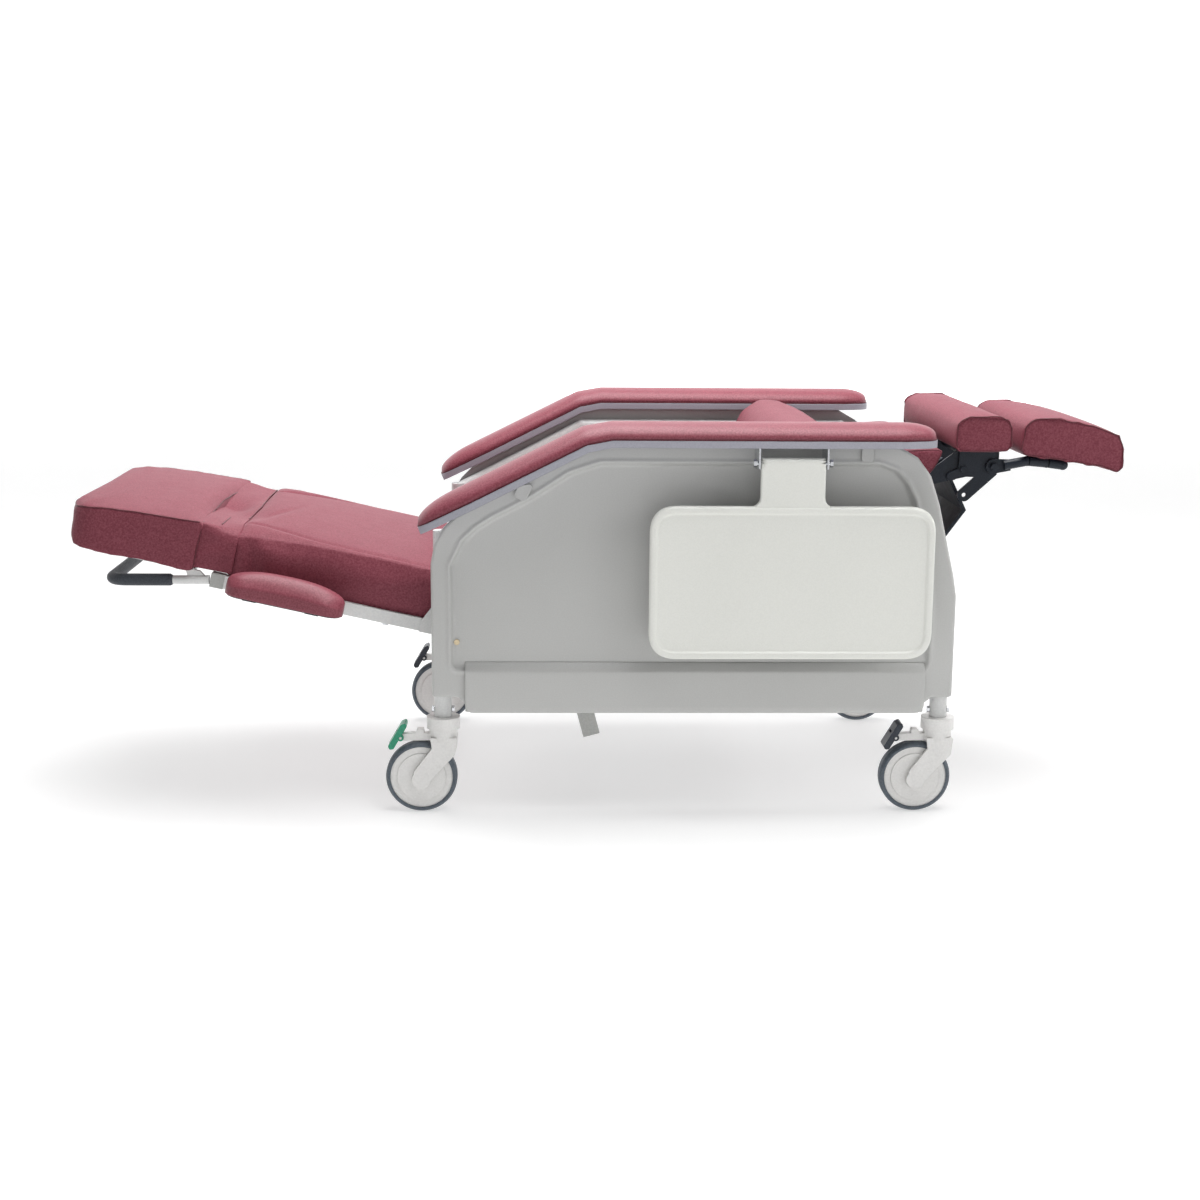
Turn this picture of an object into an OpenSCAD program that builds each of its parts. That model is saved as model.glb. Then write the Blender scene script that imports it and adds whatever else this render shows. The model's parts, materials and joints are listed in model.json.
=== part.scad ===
// Patient recliner chair on four braked casters, shown fully reclined with the legrest raised.
// +X points to the head end, -Y is the sitter's left, +Z is up, the floor is Z = 0.

/* [Overall] */
// Width over the outer edges of the armrests
body_w = 830; // [822:1:838]
// Distance between the left and right caster swivel axes
track = 635; // [633:0.5:637]
// Height of the flat arm pad tops
arm_h = 703; // [699:1:707]

/* [Casters] */
// Tyre diameter
wheel_d = 127; // [124:1:128]
// Tyre width
tyre_w = 28; // [24:1:30]
// Trail of the wheel axle behind the swivel axis
trail = 39; // [37:1:40]

/* [Side panels] */
// Moulded sheet thickness of the recessed field
sheet_t = 4; // [3:0.5:4.5]
// Height the border stands proud of the field
border_t = 7; // [5:0.5:8]
// Height the lower skirt stands proud of the field
skirt_t = 14; // [10:1:18]

/* [Tray] */
// Length of the hanging side tray
tray_l = 489; // [470:1:495]
// Height of the hanging side tray
tray_h = 266; // [250:1:270]
// Tray thickness
tray_t = 18; // [15:1:20]
// Corner radius of the tray
tray_r = 48; // [30:1:60]

/* [Upholstery] */
// Arm pad thickness
pad_t = 28; // [24:1:30]
// Legrest cushion half width
leg_half = 282; // [276:1:283]
// Back and shoulder cushion half width
back_half = 250; // [240:1:255]
// Headrest cushion half width
head_half = 195; // [192:1:205]

/* [Hidden] */
half_w = body_w / 2;
post_y = track / 2;
post_r = 15.5;
rail_r = 12.5;
front_x = -294;
rear_x = 590;
post_base = 173;
stem_r = 11;
wheel_r = wheel_d / 2;
leg_pivot = [-285, 375];
leg_tilt = 12.3;
fold_s = 428;
back_pivot = [310, 500];
seat_pivot = [-185, 350];
head_pivot = [703.5, 605];
tray_pin = [403, 637];
neck_x = [252, 362];
fit = 0.05;
arm_in = 303;
trim_t = 12;
arm_base = arm_h - pad_t - trim_t;
panel_in = post_y + post_r + 1.2;
field_y = panel_in + sheet_t;
border_y = field_y + border_t;
skirt_y = field_y + skirt_t;
bar_y = 158;
plate_y = 164;
vinyl = [0.70, 0.32, 0.40];
grey = [0.70, 0.70, 0.69];
white = [0.88, 0.88, 0.86];
black = [0.14, 0.15, 0.17];
chrome = [0.80, 0.80, 0.82];
lilac = [0.63, 0.63, 0.69];

// ---- placing helpers ----

// Extrudes an X-Z outline from y0 to y1
module slab_xz(y0, y1) {
    translate([0, y1, 0]) rotate([90, 0, 0]) linear_extrude(y1 - y0) children();
}

// Extrudes a Y-Z outline from x0 to x1
module slab_yz(x0, x1) {
    translate([x0, 0, 0]) rotate([90, 0, 90]) linear_extrude(x1 - x0) children();
}

// Round bar across the chair
module rod_y(p, r, y0, y1) {
    translate([p[0], y1, p[1]]) rotate([90, 0, 0]) cylinder(h = y1 - y0, r = r, $fn = 48);
}

// Round bar along the chair
module rod_x(y, z, r, x0, x1) {
    translate([x0, y, z]) rotate([0, 90, 0]) cylinder(h = x1 - x0, r = r, $fn = 48);
}

// Round bar between two X-Z points at one y
module bar_xz(p, q, r, y) {
    d = q - p;
    translate([p[0], y, p[1]]) rotate([0, atan2(d[0], d[1]), 0])
        cylinder(h = norm(d), r = r, $fn = 48);
}

// Ball that closes a tube corner
module knuckle(p, r, y) {
    translate([p[0], y, p[1]]) sphere(r = r, $fn = 32);
}

// Everything is drawn for the left side; the right side is its mirror image
module on_side(right) {
    mirror([0, right ? 1 : 0, 0]) children();
}

module both_sides() {
    children();
    mirror([0, 1, 0]) children();
}

// Legrest frame of reference: -X runs out along the legrest from its pivot
module leg_space() {
    translate([leg_pivot[0], 0, leg_pivot[1]]) rotate([0, leg_tilt, 0]) children();
}

module soft(r) {
    offset(r = r, $fn = 48) offset(delta = -r) children();
}

// ---- fixed frame ----

module side_frame(right) {
    top = [[front_x, 495], [-38, 628], [498, 628], [548, 560], [578, 460], [rear_x, 400]];
    color(white) on_side(right) difference() {
        union() {
            translate([front_x, -post_y, post_base]) cylinder(h = 334, r = post_r, $fn = 64);
            translate([rear_x, -post_y, post_base]) cylinder(h = 222, r = post_r, $fn = 64);
            for (i = [0 : 4]) bar_xz(top[i], top[i + 1], rail_r, -post_y);
            for (i = [1 : 4]) knuckle(top[i], rail_r + 0.6, -post_y);
            rod_x(-post_y, 345, rail_r, front_x, rear_x);
            rod_x(-post_y, 225, rail_r, front_x, rear_x);
            slab_xz(-306, -300) translate([back_pivot[0] - 35, 340]) square([70, 288]);
            slab_xz(-306, -300) translate([seat_pivot[0] - 30, 325]) square([60, 45]);
            rod_y(back_pivot, 10, -301, -240);
            rod_y(leg_pivot, 8, -308, -282.5);
        }
        for (x = [front_x, rear_x]) {
            translate([x, -post_y, post_base - 1]) cylinder(h = 58, r = stem_r + fit, $fn = 48);
            rod_x(-post_y, 186, 3 + fit, x - 20, x + 20);
        }
    }
}

module cross_tubes() {
    color(white) {
        rod_y(seat_pivot, rail_r, -300, 300);
        rod_y([front_x, 245], rail_r, -post_y + post_r, post_y - post_r);
        rod_y([rear_x - 2, 412], rail_r, -post_y + post_r, post_y - post_r);
        rod_y([-60, 225], rail_r, -post_y + rail_r, post_y - rail_r);
        rod_y([420, 225], rail_r, -post_y + rail_r, post_y - rail_r);
    }
}

module post_bolts() {
    color(chrome) both_sides() for (x = [front_x, rear_x]) {
        rod_x(-post_y, 186, 3, x - 16, x + 16);
        translate([x - 20, -post_y, 186]) rotate([0, 90, 0]) cylinder(h = 4.4, r = 6, $fn = 6);
        translate([x + 15.6, -post_y, 186]) rotate([0, 90, 0]) cylinder(h = 4.4, r = 6, $fn = 6);
    }
}

module caster_stems() {
    color(white) both_sides() for (x = [front_x, rear_x]) translate([x, -post_y, 0]) difference() {
        union() {
            translate([0, 0, 133]) cylinder(h = 20, r = 8, $fn = 48);
            translate([0, 0, 152]) cylinder(h = 21, r = 29.5, $fn = 64);
            translate([0, 0, 172]) cylinder(h = 57, r = stem_r, $fn = 48);
        }
        rod_x(0, 186, 3 + fit, -20, 20);
    }
}

// ---- side panels ----

module panel_outline() {
    soft(7) polygon([[-312.5, 213], [-312.5, 452], [-306, 486], [-290, 515], [-268, 537],
        [-40, 652], [-10, 661], [495, 661], [532, 640], [556, 608], [573, 557], [590, 484],
        [602, 434], [608.5, 396], [608.5, 213], [572, 213], [560, 203], [545, 184], [-246, 184],
        [-256, 203], [-266, 213]]);
}

module field_outline() {
    soft(16) polygon([[-277, 264], [-277, 449], [-256, 492], [-233, 514], [-205, 532],
        [-141, 565], [-70, 611], [-18, 628], [466, 628], [495, 617], [512, 598], [528, 566],
        [545, 500], [557, 430], [563, 370], [563, 264]]);
}

module side_panel(right) {
    color(grey) on_side(right) {
        slab_xz(-field_y, -panel_in) panel_outline();
        slab_xz(-border_y, -field_y + 0.5) difference() {
            panel_outline();
            field_outline();
        }
        slab_xz(-border_y - 2.5, -border_y + 0.5) difference() {
            offset(delta = 8) field_outline();
            field_outline();
            translate([-400, 150]) square([1200, 118]);
        }
        slab_xz(-border_y + 0.5, -panel_in + 24) difference() {
            panel_outline();
            offset(delta = -2.8) panel_outline();
            translate([-309.6, 160]) square([843.6, 540]);
            translate([-400, 150]) square([1100, 72]);
        }
        slab_yz(-254, 558) polygon([[-panel_in, 186], [-skirt_y + 3, 186], [-skirt_y, 198],
            [-skirt_y, 262], [-field_y, 277], [-panel_in, 277]]);
    }
}

module panel_screws() {
    color([0.75, 0.60, 0.30]) both_sides()
        translate([-268, -field_y, 312]) rotate([90, 0, 0]) cylinder(h = 2.5, r = 5, $fn = 32);
}

// ---- armrests ----

module arm_profile(z0, z1) {
    polygon([[-326 - z0 * 0.46, 511 + z0 * 0.89], [-40 - z0 * 0.24, arm_base - 8 + z0 * 0.98],
        [0, arm_base + z0], [570, arm_base + z0], [570, arm_base + z1], [0, arm_base + z1],
        [-40 - z1 * 0.24, arm_base - 8 + z1 * 0.98], [-326 - z1 * 0.46, 511 + z1 * 0.89]]);
}

module arm_plan(inset) {
    w = half_w - arm_in;
    translate([0, -half_w]) offset(delta = -inset) soft(36)
        polygon([[-334, w * 0.18], [-334, w * 0.82], [-240, w], [500, w], [557, w * 0.86],
            [557, w * 0.14], [500, 0], [-240, 0]]);
}

module arm_trim(right) {
    color(lilac) on_side(right) intersection() {
        slab_xz(-half_w - 1, -arm_in + 1) arm_profile(0, trim_t);
        translate([0, 0, 400]) linear_extrude(400) arm_plan(0);
    }
}

module arm_pad(right) {
    color(vinyl) on_side(right) intersection() {
        slab_xz(-half_w - 1, -arm_in + 1) arm_profile(trim_t, trim_t + pad_t);
        translate([0, 0, 400]) linear_extrude(400) arm_plan(2);
    }
}

module arm_brackets() {
    color(grey) both_sides() {
        slab_xz(-border_y - 6.6, -border_y - 2.6) soft(5)
            polygon([[-168, 572], [-148, 561], [-132, 594], [-160, 590]]);
        slab_xz(-border_y - 6.6, -border_y - 2.6) soft(5) translate([432, 634]) square([21, 27]);
    }
}

// ---- swing-up tray ----

module tray_bracket() {
    color(chrome) for (x = [neck_x[0] - 4.5, neck_x[1] + 1.5])
        slab_yz(x, x + 3) difference() {
            polygon([[-413, arm_base], [-border_y - 4, arm_base], [-border_y - 4, 622],
                [-360, 622], [-390, 625], [-413, 628]]);
            translate([-tray_pin[0], tray_pin[1]]) circle(r = 4 + fit, $fn = 48);
        }
}

module tray_pin_shaft() {
    color(chrome) {
        rod_x(-tray_pin[0], tray_pin[1], 4, neck_x[0] - 8, neck_x[1] + 8);
        for (x = [neck_x[0] - 12.5, neck_x[1] + 7.5])
            translate([x, -tray_pin[0], tray_pin[1]]) rotate([0, 90, 0])
                cylinder(h = 5, r = 7, $fn = 6);
    }
}

module tray() {
    x0 = 309 - tray_l / 2;
    z0 = 564 - tray_h;
    y0 = -half_w + tray_t;
    color(white) difference() {
        union() {
            slab_xz(-half_w + 3, y0) translate([x0, z0]) soft(tray_r) square([tray_l, tray_h]);
            slab_xz(-half_w, y0) translate([x0, z0]) difference() {
                soft(tray_r) square([tray_l, tray_h]);
                offset(delta = -14) soft(tray_r) square([tray_l, tray_h]);
            }
            slab_xz(-half_w + 2, y0) soft(4) translate([neck_x[0], 560])
                square([neck_x[1] - neck_x[0], 77]);
            slab_xz(-half_w + 2, y0) difference() {
                translate([neck_x[0] - 10, 563]) square([neck_x[1] - neck_x[0] + 20, 11]);
                for (x = [neck_x[0] - 10, neck_x[1] + 10])
                    translate([x, 574]) circle(r = 10, $fn = 48);
            }
            rod_x(-tray_pin[0], tray_pin[1], 10, neck_x[0], neck_x[1]);
        }
        rod_x(-tray_pin[0], tray_pin[1], 4 + fit, neck_x[0] - 5, neck_x[1] + 5);
    }
}

module under_strut() {
    color(grey) translate([-40, -296, 170]) rotate([0, -15, 0]) difference() {
        translate([-15, 0, -40]) cube([30, 14, 82]);
        translate([-12, 3, -45]) cube([24, 20, 78]);
    }
}

module rear_cover() {
    color(black) slab_xz(-150, 150) polygon([[598, 606], [616, 618], [634, 580], [663, 521],
        [602, 436], [597, 439], [656, 521], [629, 577], [614, 610], [601, 601]]);
}

// ---- seat ----

module seat_frame() {
    color(black) difference() {
        union() {
            for (y = [-225, 200]) translate([-205, y, 342]) cube([420, 25, 28]);
            for (y = [-235, 190]) rod_y(seat_pivot, 18, y, y + 45);
            for (x = [-60, 180]) translate([x, -210, 346]) cube([25, 420, 20]);
            translate([-150, -215, 367]) cube([360, 430, 4]);
        }
        rod_y(seat_pivot, rail_r + fit, -240, 240);
    }
}

module seat_cushion() {
    color(vinyl) slab_xz(-275, 275) soft(24)
        polygon([[-268, 371], [-268, 446], [-240, 462], [200, 462], [225, 448], [225, 371]]);
}

// ---- back ----

module back_bars_outline() {
    polygon([[295, 500], [310, 484], [326, 490], [600, 572], [716, 598], [716, 636],
        [642, 636], [594, 599], [342, 561], [296, 520]]);
}

module back_frame() {
    color(black) difference() {
        union() {
            for (y = [-bar_y - 6, bar_y]) slab_xz(y, y + 6) back_bars_outline();
            rod_y(back_pivot, 16, -258, 258);
            rod_y([450, 557], 10, -bar_y - 3, bar_y + 3);
            rod_y([688, 615], 10, -bar_y - 3, bar_y + 3);
        }
        rod_y(back_pivot, 10 + fit, -260, -239);
        rod_y(back_pivot, 10 + fit, 239, 260);
        for (p = [head_pivot, [650, 599]]) {
            rod_y(p, 4 + fit, -bar_y - 8, -bar_y + 2);
            rod_y(p, 4 + fit, bar_y - 2, bar_y + 8);
        }
    }
}

module back_cushion() {
    color(vinyl) slab_xz(-back_half, back_half) soft(20)
        polygon([[220, 508], [254, 486], [338, 563], [594, 600], [600, 632], [588, 655],
            [420, 645], [330, 625], [262, 580]]);
}

module lumbar_cushion() {
    color(vinyl) slab_xz(-back_half + 15, back_half - 15) soft(12)
        polygon([[262, 588], [330, 627], [418, 647], [400, 668], [354, 688], [318, 690],
            [282, 668], [258, 622]]);
}

module shoulder_bolster() {
    color(vinyl) slab_xz(-back_half, back_half) soft(18)
        polygon([[616, 657], [620, 637], [716, 637], [718, 684], [704, 705], [640, 707],
            [618, 692]]);
}

module back_plates() {
    color(black) both_sides() slab_xz(-plate_y - 6, -plate_y) difference() {
        union() {
            soft(3) polygon([[642, 634], [708, 634], [716, 600], [700, 584], [640, 586]]);
            translate([653, 552]) circle(r = 12, $fn = 48);
            polygon([[662, 544], [712, 590], [694, 606], [645, 561]]);
            translate([628, 586]) circle(r = 8, $fn = 48);
            polygon([[632, 579], [662, 592], [656, 606], [625, 594]]);
        }
        translate([653, 552]) circle(r = 4, $fn = 48);
        for (p = [head_pivot, [650, 599]]) translate(p) circle(r = 4 + fit, $fn = 48);
    }
}

module back_bolts() {
    color(black) both_sides() {
        rod_y(head_pivot, 4, -182, -bar_y);
        translate([head_pivot[0], -182, head_pivot[1]]) rotate([90, 0, 0])
            cylinder(h = 4, r = 7.5, $fn = 6);
        rod_y([650, 599], 4, -plate_y - 8, -bar_y);
        translate([650, -plate_y - 6, 599]) rotate([90, 0, 0]) cylinder(h = 4, r = 7, $fn = 6);
    }
}

// ---- headrest ----

module headrest_bar() {
    path = [[722, 608], [764, 616], [800, 613], [830, 609]];
    color(black) difference() {
        union() {
            both_sides() {
                slab_xz(-177, -171) {
                    translate(head_pivot) circle(r = 14, $fn = 48);
                    polygon([[700, 591.5], [735, 598], [735, 618], [704, 619]]);
                }
                for (i = [0 : 2]) bar_xz(path[i], path[i + 1], 9, -178);
                for (i = [1 : 3]) knuckle(path[i], 9.5, -178);
            }
            rod_y(path[3], 9, -178, 178);
        }
        rod_y(head_pivot, 4 + fit, -180, 180);
    }
}

module headrest_cushion() {
    color(vinyl) slab_xz(-head_half, head_half) soft(16)
        polygon([[747, 629], [752, 680], [772, 697], [820, 696], [880, 686], [926, 671],
            [937, 650], [936, 608], [922, 596], [906, 609], [830, 620]]);
}

// ---- legrest ----

module leg_frame() {
    color(white) leg_space() difference() {
        union() {
            both_sides() {
                translate([-396, -leg_half, -65]) cube([416, 20, 23]);
                slab_xz(-289, -283) {
                    circle(r = 20, $fn = 48);
                    polygon([[-20, -3], [20, -3], [20, -65], [-40, -65], [-40, -45]]);
                }
                translate([-40, -285, -65]) cube([60, 10, 22]);
                slab_xz(-155, -150) {
                    polygon([[-fold_s - 8, -3], [-fold_s + 8, 4], [-405, -44], [-388, -44],
                        [-388, -62], [-404, -62]]);
                    translate([-fold_s, 0]) circle(r = 9, $fn = 48);
                }
            }
            for (x = [-60, -380]) rod_y([x, -53.5], 10, -leg_half + 10, leg_half - 10);
            rod_y([-fold_s, 0], 4, -165, 165);
        }
        both_sides() slab_xz(-290, -280) circle(r = 8 + fit, $fn = 48);
    }
}

module calf_cushion() {
    color(vinyl) leg_space() slab_xz(-leg_half, leg_half) soft(16)
        polygon([[-402, -42], [-402, 38], [-386, 52], [-340, 58], [-20, 57], [-4, 44],
            [-4, -22], [-22, -42]]);
}

module leg_bushings() {
    color(grey) leg_space() both_sides() translate([-418, -leg_half - 1, -66]) difference() {
        cube([24, 22, 25]);
        translate([22, 1, 1]) cube([4, 20, 23]);
    }
}

module side_pad_plan(inset) {
    offset(delta = -inset) soft(30) translate([-382, -370]) square([208, 70]);
}

module side_pad(right) {
    color(vinyl) leg_space() on_side(right) {
        translate([0, 0, -52]) linear_extrude(24) side_pad_plan(0);
        translate([0, 0, -28.5]) linear_extrude(12.5) side_pad_plan(7);
        translate([0, 0, -16.5]) linear_extrude(8.5) side_pad_plan(16);
    }
}

module side_pad_bases() {
    color(black) leg_space() both_sides() {
        translate([0, 0, -58]) linear_extrude(6) side_pad_plan(4);
        for (x = [-350, -240]) translate([x, -340, -65]) cube([24, 58, 7.5]);
    }
}

module leg_bolts() {
    color(chrome) leg_space() both_sides() for (x = [-362, -308, -232, -102])
        translate([x, -leg_half + 10, -69]) cylinder(h = 4, r = 6, $fn = 6);
}

// ---- folding footrest ----

bar_z = 410;
bar_in = -708;
bar_out = -884;
grip_in = bar_out + 112;
bend_r = 30;

// U-shaped bar: two straight sides, two quarter bends and the bar across
module bent_bar(r, x_in) {
    both_sides() {
        rod_x(-272, bar_z, r, bar_out + bend_r, x_in);
        translate([bar_out + bend_r, bend_r - 272, bar_z]) rotate([0, 0, 180])
            rotate_extrude(angle = 90, $fn = 96) translate([bend_r, 0]) circle(r = r, $fn = 48);
    }
    rod_y([bar_out, bar_z], r, bend_r - 272, 272 - bend_r);
}

module foot_frame() {
    color(white) difference() {
        union() {
            bent_bar(7.8, bar_in);
            both_sides() {
                slab_xz(-274, -268) polygon([[-709, 409], [-744, 408], [-750, 432], [-724, 426]]);
                leg_space() slab_xz(-161, -156) {
                    polygon([[-fold_s - 9, 0], [-fold_s + 9, 0], [-fold_s - 2, -45],
                        [-fold_s - 60, -45], [-fold_s - 60, -38]]);
                    translate([-fold_s, 0]) circle(r = 9, $fn = 48);
                }
            }
            leg_space() translate([-655, -276, -46]) cube([206, 552, 5]);
        }
        leg_space() rod_y([-fold_s, 0], 4 + fit, -170, 170);
    }
}

module foot_grip() {
    color(black) difference() {
        bent_bar(10.8, grip_in);
        bent_bar(7.9, bar_in);
    }
}

module foot_cushion() {
    color(vinyl) leg_space() difference() {
        intersection() {
            slab_xz(-leg_half - 3, leg_half + 3) soft(14)
                polygon([[-446, -41], [-446, 47], [-560, 48], [-664, 38], [-683, 18],
                    [-681, -22], [-664, -41]]);
            translate([0, 0, -60]) linear_extrude(120) soft(42)
                polygon([[-683, -200], [-676, -leg_half + 20], [-655, -leg_half - 3],
                    [-300, -leg_half - 3], [-300, leg_half + 3], [-655, leg_half + 3],
                    [-676, leg_half - 20], [-683, 200]]);
        }
        both_sides() slab_xz(-163, -148)
            polygon([[-440, -50], [-440, 14], [-452, 10], [-495, -36], [-495, -50]]);
    }
}

module fold_gusset() {
    color(vinyl) leg_space() {
        translate([-426, -leg_half + 4, 18]) cube([22, 2 * leg_half - 8, 4]);
        both_sides() translate([-426, -leg_half + 4, -38]) cube([22, 4, 58]);
    }
}

// ---- casters ----

module at_caster(x, right) {
    translate([x, right ? post_y : -post_y, 0]) children();
}

module fork(x, right) {
    color(white) at_caster(x, right) difference() {
        union() {
            translate([0, 0, 131]) cylinder(h = 20, r = 25, $fn = 64);
            for (y = [-tyre_w / 2 - 9, tyre_w / 2 + 3]) slab_xz(y, y + 6) union() {
                polygon([[-22, 136], [-20, 118], [-52, 76], [-50, 52], [-30, 50], [22, 108],
                    [25, 136]]);
                translate([-trail, wheel_r - 3]) circle(r = 17, $fn = 48);
            }
            slab_xz(-tyre_w / 2 - 9, tyre_w / 2 + 9)
                polygon([[-22, 131], [24, 131], [24, 138], [-22, 138]]);
            slab_xz(-8, 8) soft(3) polygon([[-82, 133], [-72, 129.5], [0, 130], [0, 143],
                [-34, 143], [-35, 151], [-47, 151], [-48, 143], [-80, 141]]);
            rod_y([-76, 135.5], 2.5, -14, 14);
        }
        translate([0, 0, 125]) cylinder(h = 30, r = 8 + fit, $fn = 48);
        rod_y([-trail, wheel_r], 5 + fit, -tyre_w / 2 - 7, tyre_w / 2 + 7);
    }
}

module wheel(x, right) {
    color([0.84, 0.84, 0.82]) at_caster(x, right) difference() {
        union() {
            rod_y([-trail, wheel_r], wheel_r - 8.05, -tyre_w / 2 + 2, tyre_w / 2 - 2);
            rod_y([-trail, wheel_r], wheel_r - 20, -tyre_w / 2, tyre_w / 2);
            rod_y([-trail, wheel_r], 12, -tyre_w / 2 - 2, tyre_w / 2 + 2);
        }
        rod_y([-trail, wheel_r], 5 + fit, -tyre_w, tyre_w);
    }
}

module tyre(x, right) {
    color([0.33, 0.37, 0.41]) at_caster(x, right)
        translate([-trail, 0, wheel_r]) rotate([90, 0, 0]) rotate_extrude($fn = 96)
            translate([wheel_r - 8, -tyre_w / 2]) polygon([[0, 0], [4, 0], [8, 6],
                [8, tyre_w - 6], [4, tyre_w], [0, tyre_w]]);
}

module axle(x, right) {
    color(chrome) at_caster(x, right)
        rod_y([-trail, wheel_r], 5, -tyre_w / 2 - 6.5, tyre_w / 2 + 6.5);
}

module pedal(x, right, paint) {
    color(paint) at_caster(x, right) difference() {
        union() {
            slab_xz(-17, 17) soft(3)
                polygon([[-66, 164], [-75, 160], [-98, 121], [-95, 115], [-88, 116], [-64, 157]]);
            for (y = [-13, 9]) slab_xz(y, y + 4) {
                translate([-76, 135.5]) circle(r = 6, $fn = 48);
                polygon([[-80, 131], [-92, 125], [-80, 148], [-72, 140]]);
            }
        }
        rod_y([-76, 135.5], 2.5 + fit, -20, 20);
        slab_xz(-8.5, 8.5) polygon([[-87, 125], [-60, 125], [-60, 150], [-84, 147]]);
    }
}

side_frame(false);  // side_frame_left
side_frame(true);  // side_frame_right
cross_tubes();
side_panel(false);  // side_panel_left
side_panel(true);  // side_panel_right
arm_trim(false);  // arm_trim_left
arm_trim(true);  // arm_trim_right
arm_pad(false);  // arm_pad_left
arm_pad(true);  // arm_pad_right
arm_brackets();
tray_bracket();
tray_pin_shaft();
post_bolts();
panel_screws();
under_strut();
rear_cover();
caster_stems();
tray();
seat_frame();
seat_cushion();
back_frame();
back_cushion();
lumbar_cushion();
shoulder_bolster();
back_plates();
back_bolts();
headrest_bar();
headrest_cushion();
leg_frame();
calf_cushion();
leg_bushings();
side_pad(false);  // side_pad_left
side_pad(true);  // side_pad_right
side_pad_bases();
leg_bolts();
foot_frame();
foot_grip();
foot_cushion();
fold_gusset();
fork(front_x, false);  // fork_fl
wheel(front_x, false);  // wheel_fl
tyre(front_x, false);  // tyre_fl
axle(front_x, false);  // axle_fl
pedal(front_x, false, [0.16, 0.59, 0.43]);  // pedal_fl
fork(front_x, true);  // fork_fr
wheel(front_x, true);  // wheel_fr
tyre(front_x, true);  // tyre_fr
axle(front_x, true);  // axle_fr
pedal(front_x, true, black);  // pedal_fr
fork(rear_x, false);  // fork_rl
wheel(rear_x, false);  // wheel_rl
tyre(rear_x, false);  // tyre_rl
axle(rear_x, false);  // axle_rl
pedal(rear_x, false, black);  // pedal_rl
fork(rear_x, true);  // fork_rr
wheel(rear_x, true);  // wheel_rr
tyre(rear_x, true);  // tyre_rr
axle(rear_x, true);  // axle_rr
pedal(rear_x, true, black);  // pedal_rr
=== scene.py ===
import json
import math

import bpy
import numpy as np
from mathutils import Matrix, Vector
from mathutils.bvhtree import BVHTree


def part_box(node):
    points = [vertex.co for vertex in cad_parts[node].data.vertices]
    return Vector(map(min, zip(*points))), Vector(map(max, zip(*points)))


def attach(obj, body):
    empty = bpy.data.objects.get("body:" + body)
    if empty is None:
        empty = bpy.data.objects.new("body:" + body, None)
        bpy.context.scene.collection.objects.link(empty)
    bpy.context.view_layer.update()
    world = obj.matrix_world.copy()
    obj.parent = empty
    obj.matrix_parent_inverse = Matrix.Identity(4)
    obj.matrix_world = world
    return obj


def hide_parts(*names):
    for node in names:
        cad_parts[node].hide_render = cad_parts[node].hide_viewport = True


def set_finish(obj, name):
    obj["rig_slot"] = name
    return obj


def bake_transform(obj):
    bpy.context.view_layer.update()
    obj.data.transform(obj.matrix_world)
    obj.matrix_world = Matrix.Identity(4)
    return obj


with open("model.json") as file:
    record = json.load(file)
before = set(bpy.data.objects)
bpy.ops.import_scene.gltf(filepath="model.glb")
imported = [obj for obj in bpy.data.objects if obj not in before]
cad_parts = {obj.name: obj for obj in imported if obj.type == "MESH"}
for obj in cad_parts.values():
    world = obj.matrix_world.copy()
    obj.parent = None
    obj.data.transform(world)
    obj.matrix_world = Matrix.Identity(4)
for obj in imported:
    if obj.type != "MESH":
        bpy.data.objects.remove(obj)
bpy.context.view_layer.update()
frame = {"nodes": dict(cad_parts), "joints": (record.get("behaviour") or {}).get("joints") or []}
nodes = frame["nodes"]
joints = {j["name"]: j for j in frame["joints"]}
scene = bpy.context.scene

# ---------------------------------------------------------------- materials


def node(tree, kind, **values):
    """Adds a shader node and sets its inputs, or its properties where it has no such input."""
    n = tree.nodes.new(kind)
    for key, value in values.items():
        name = key.replace("_", " ")
        if name in n.inputs:
            n.inputs[name].default_value = value
        else:
            setattr(n, key, value)
    return n


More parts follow.
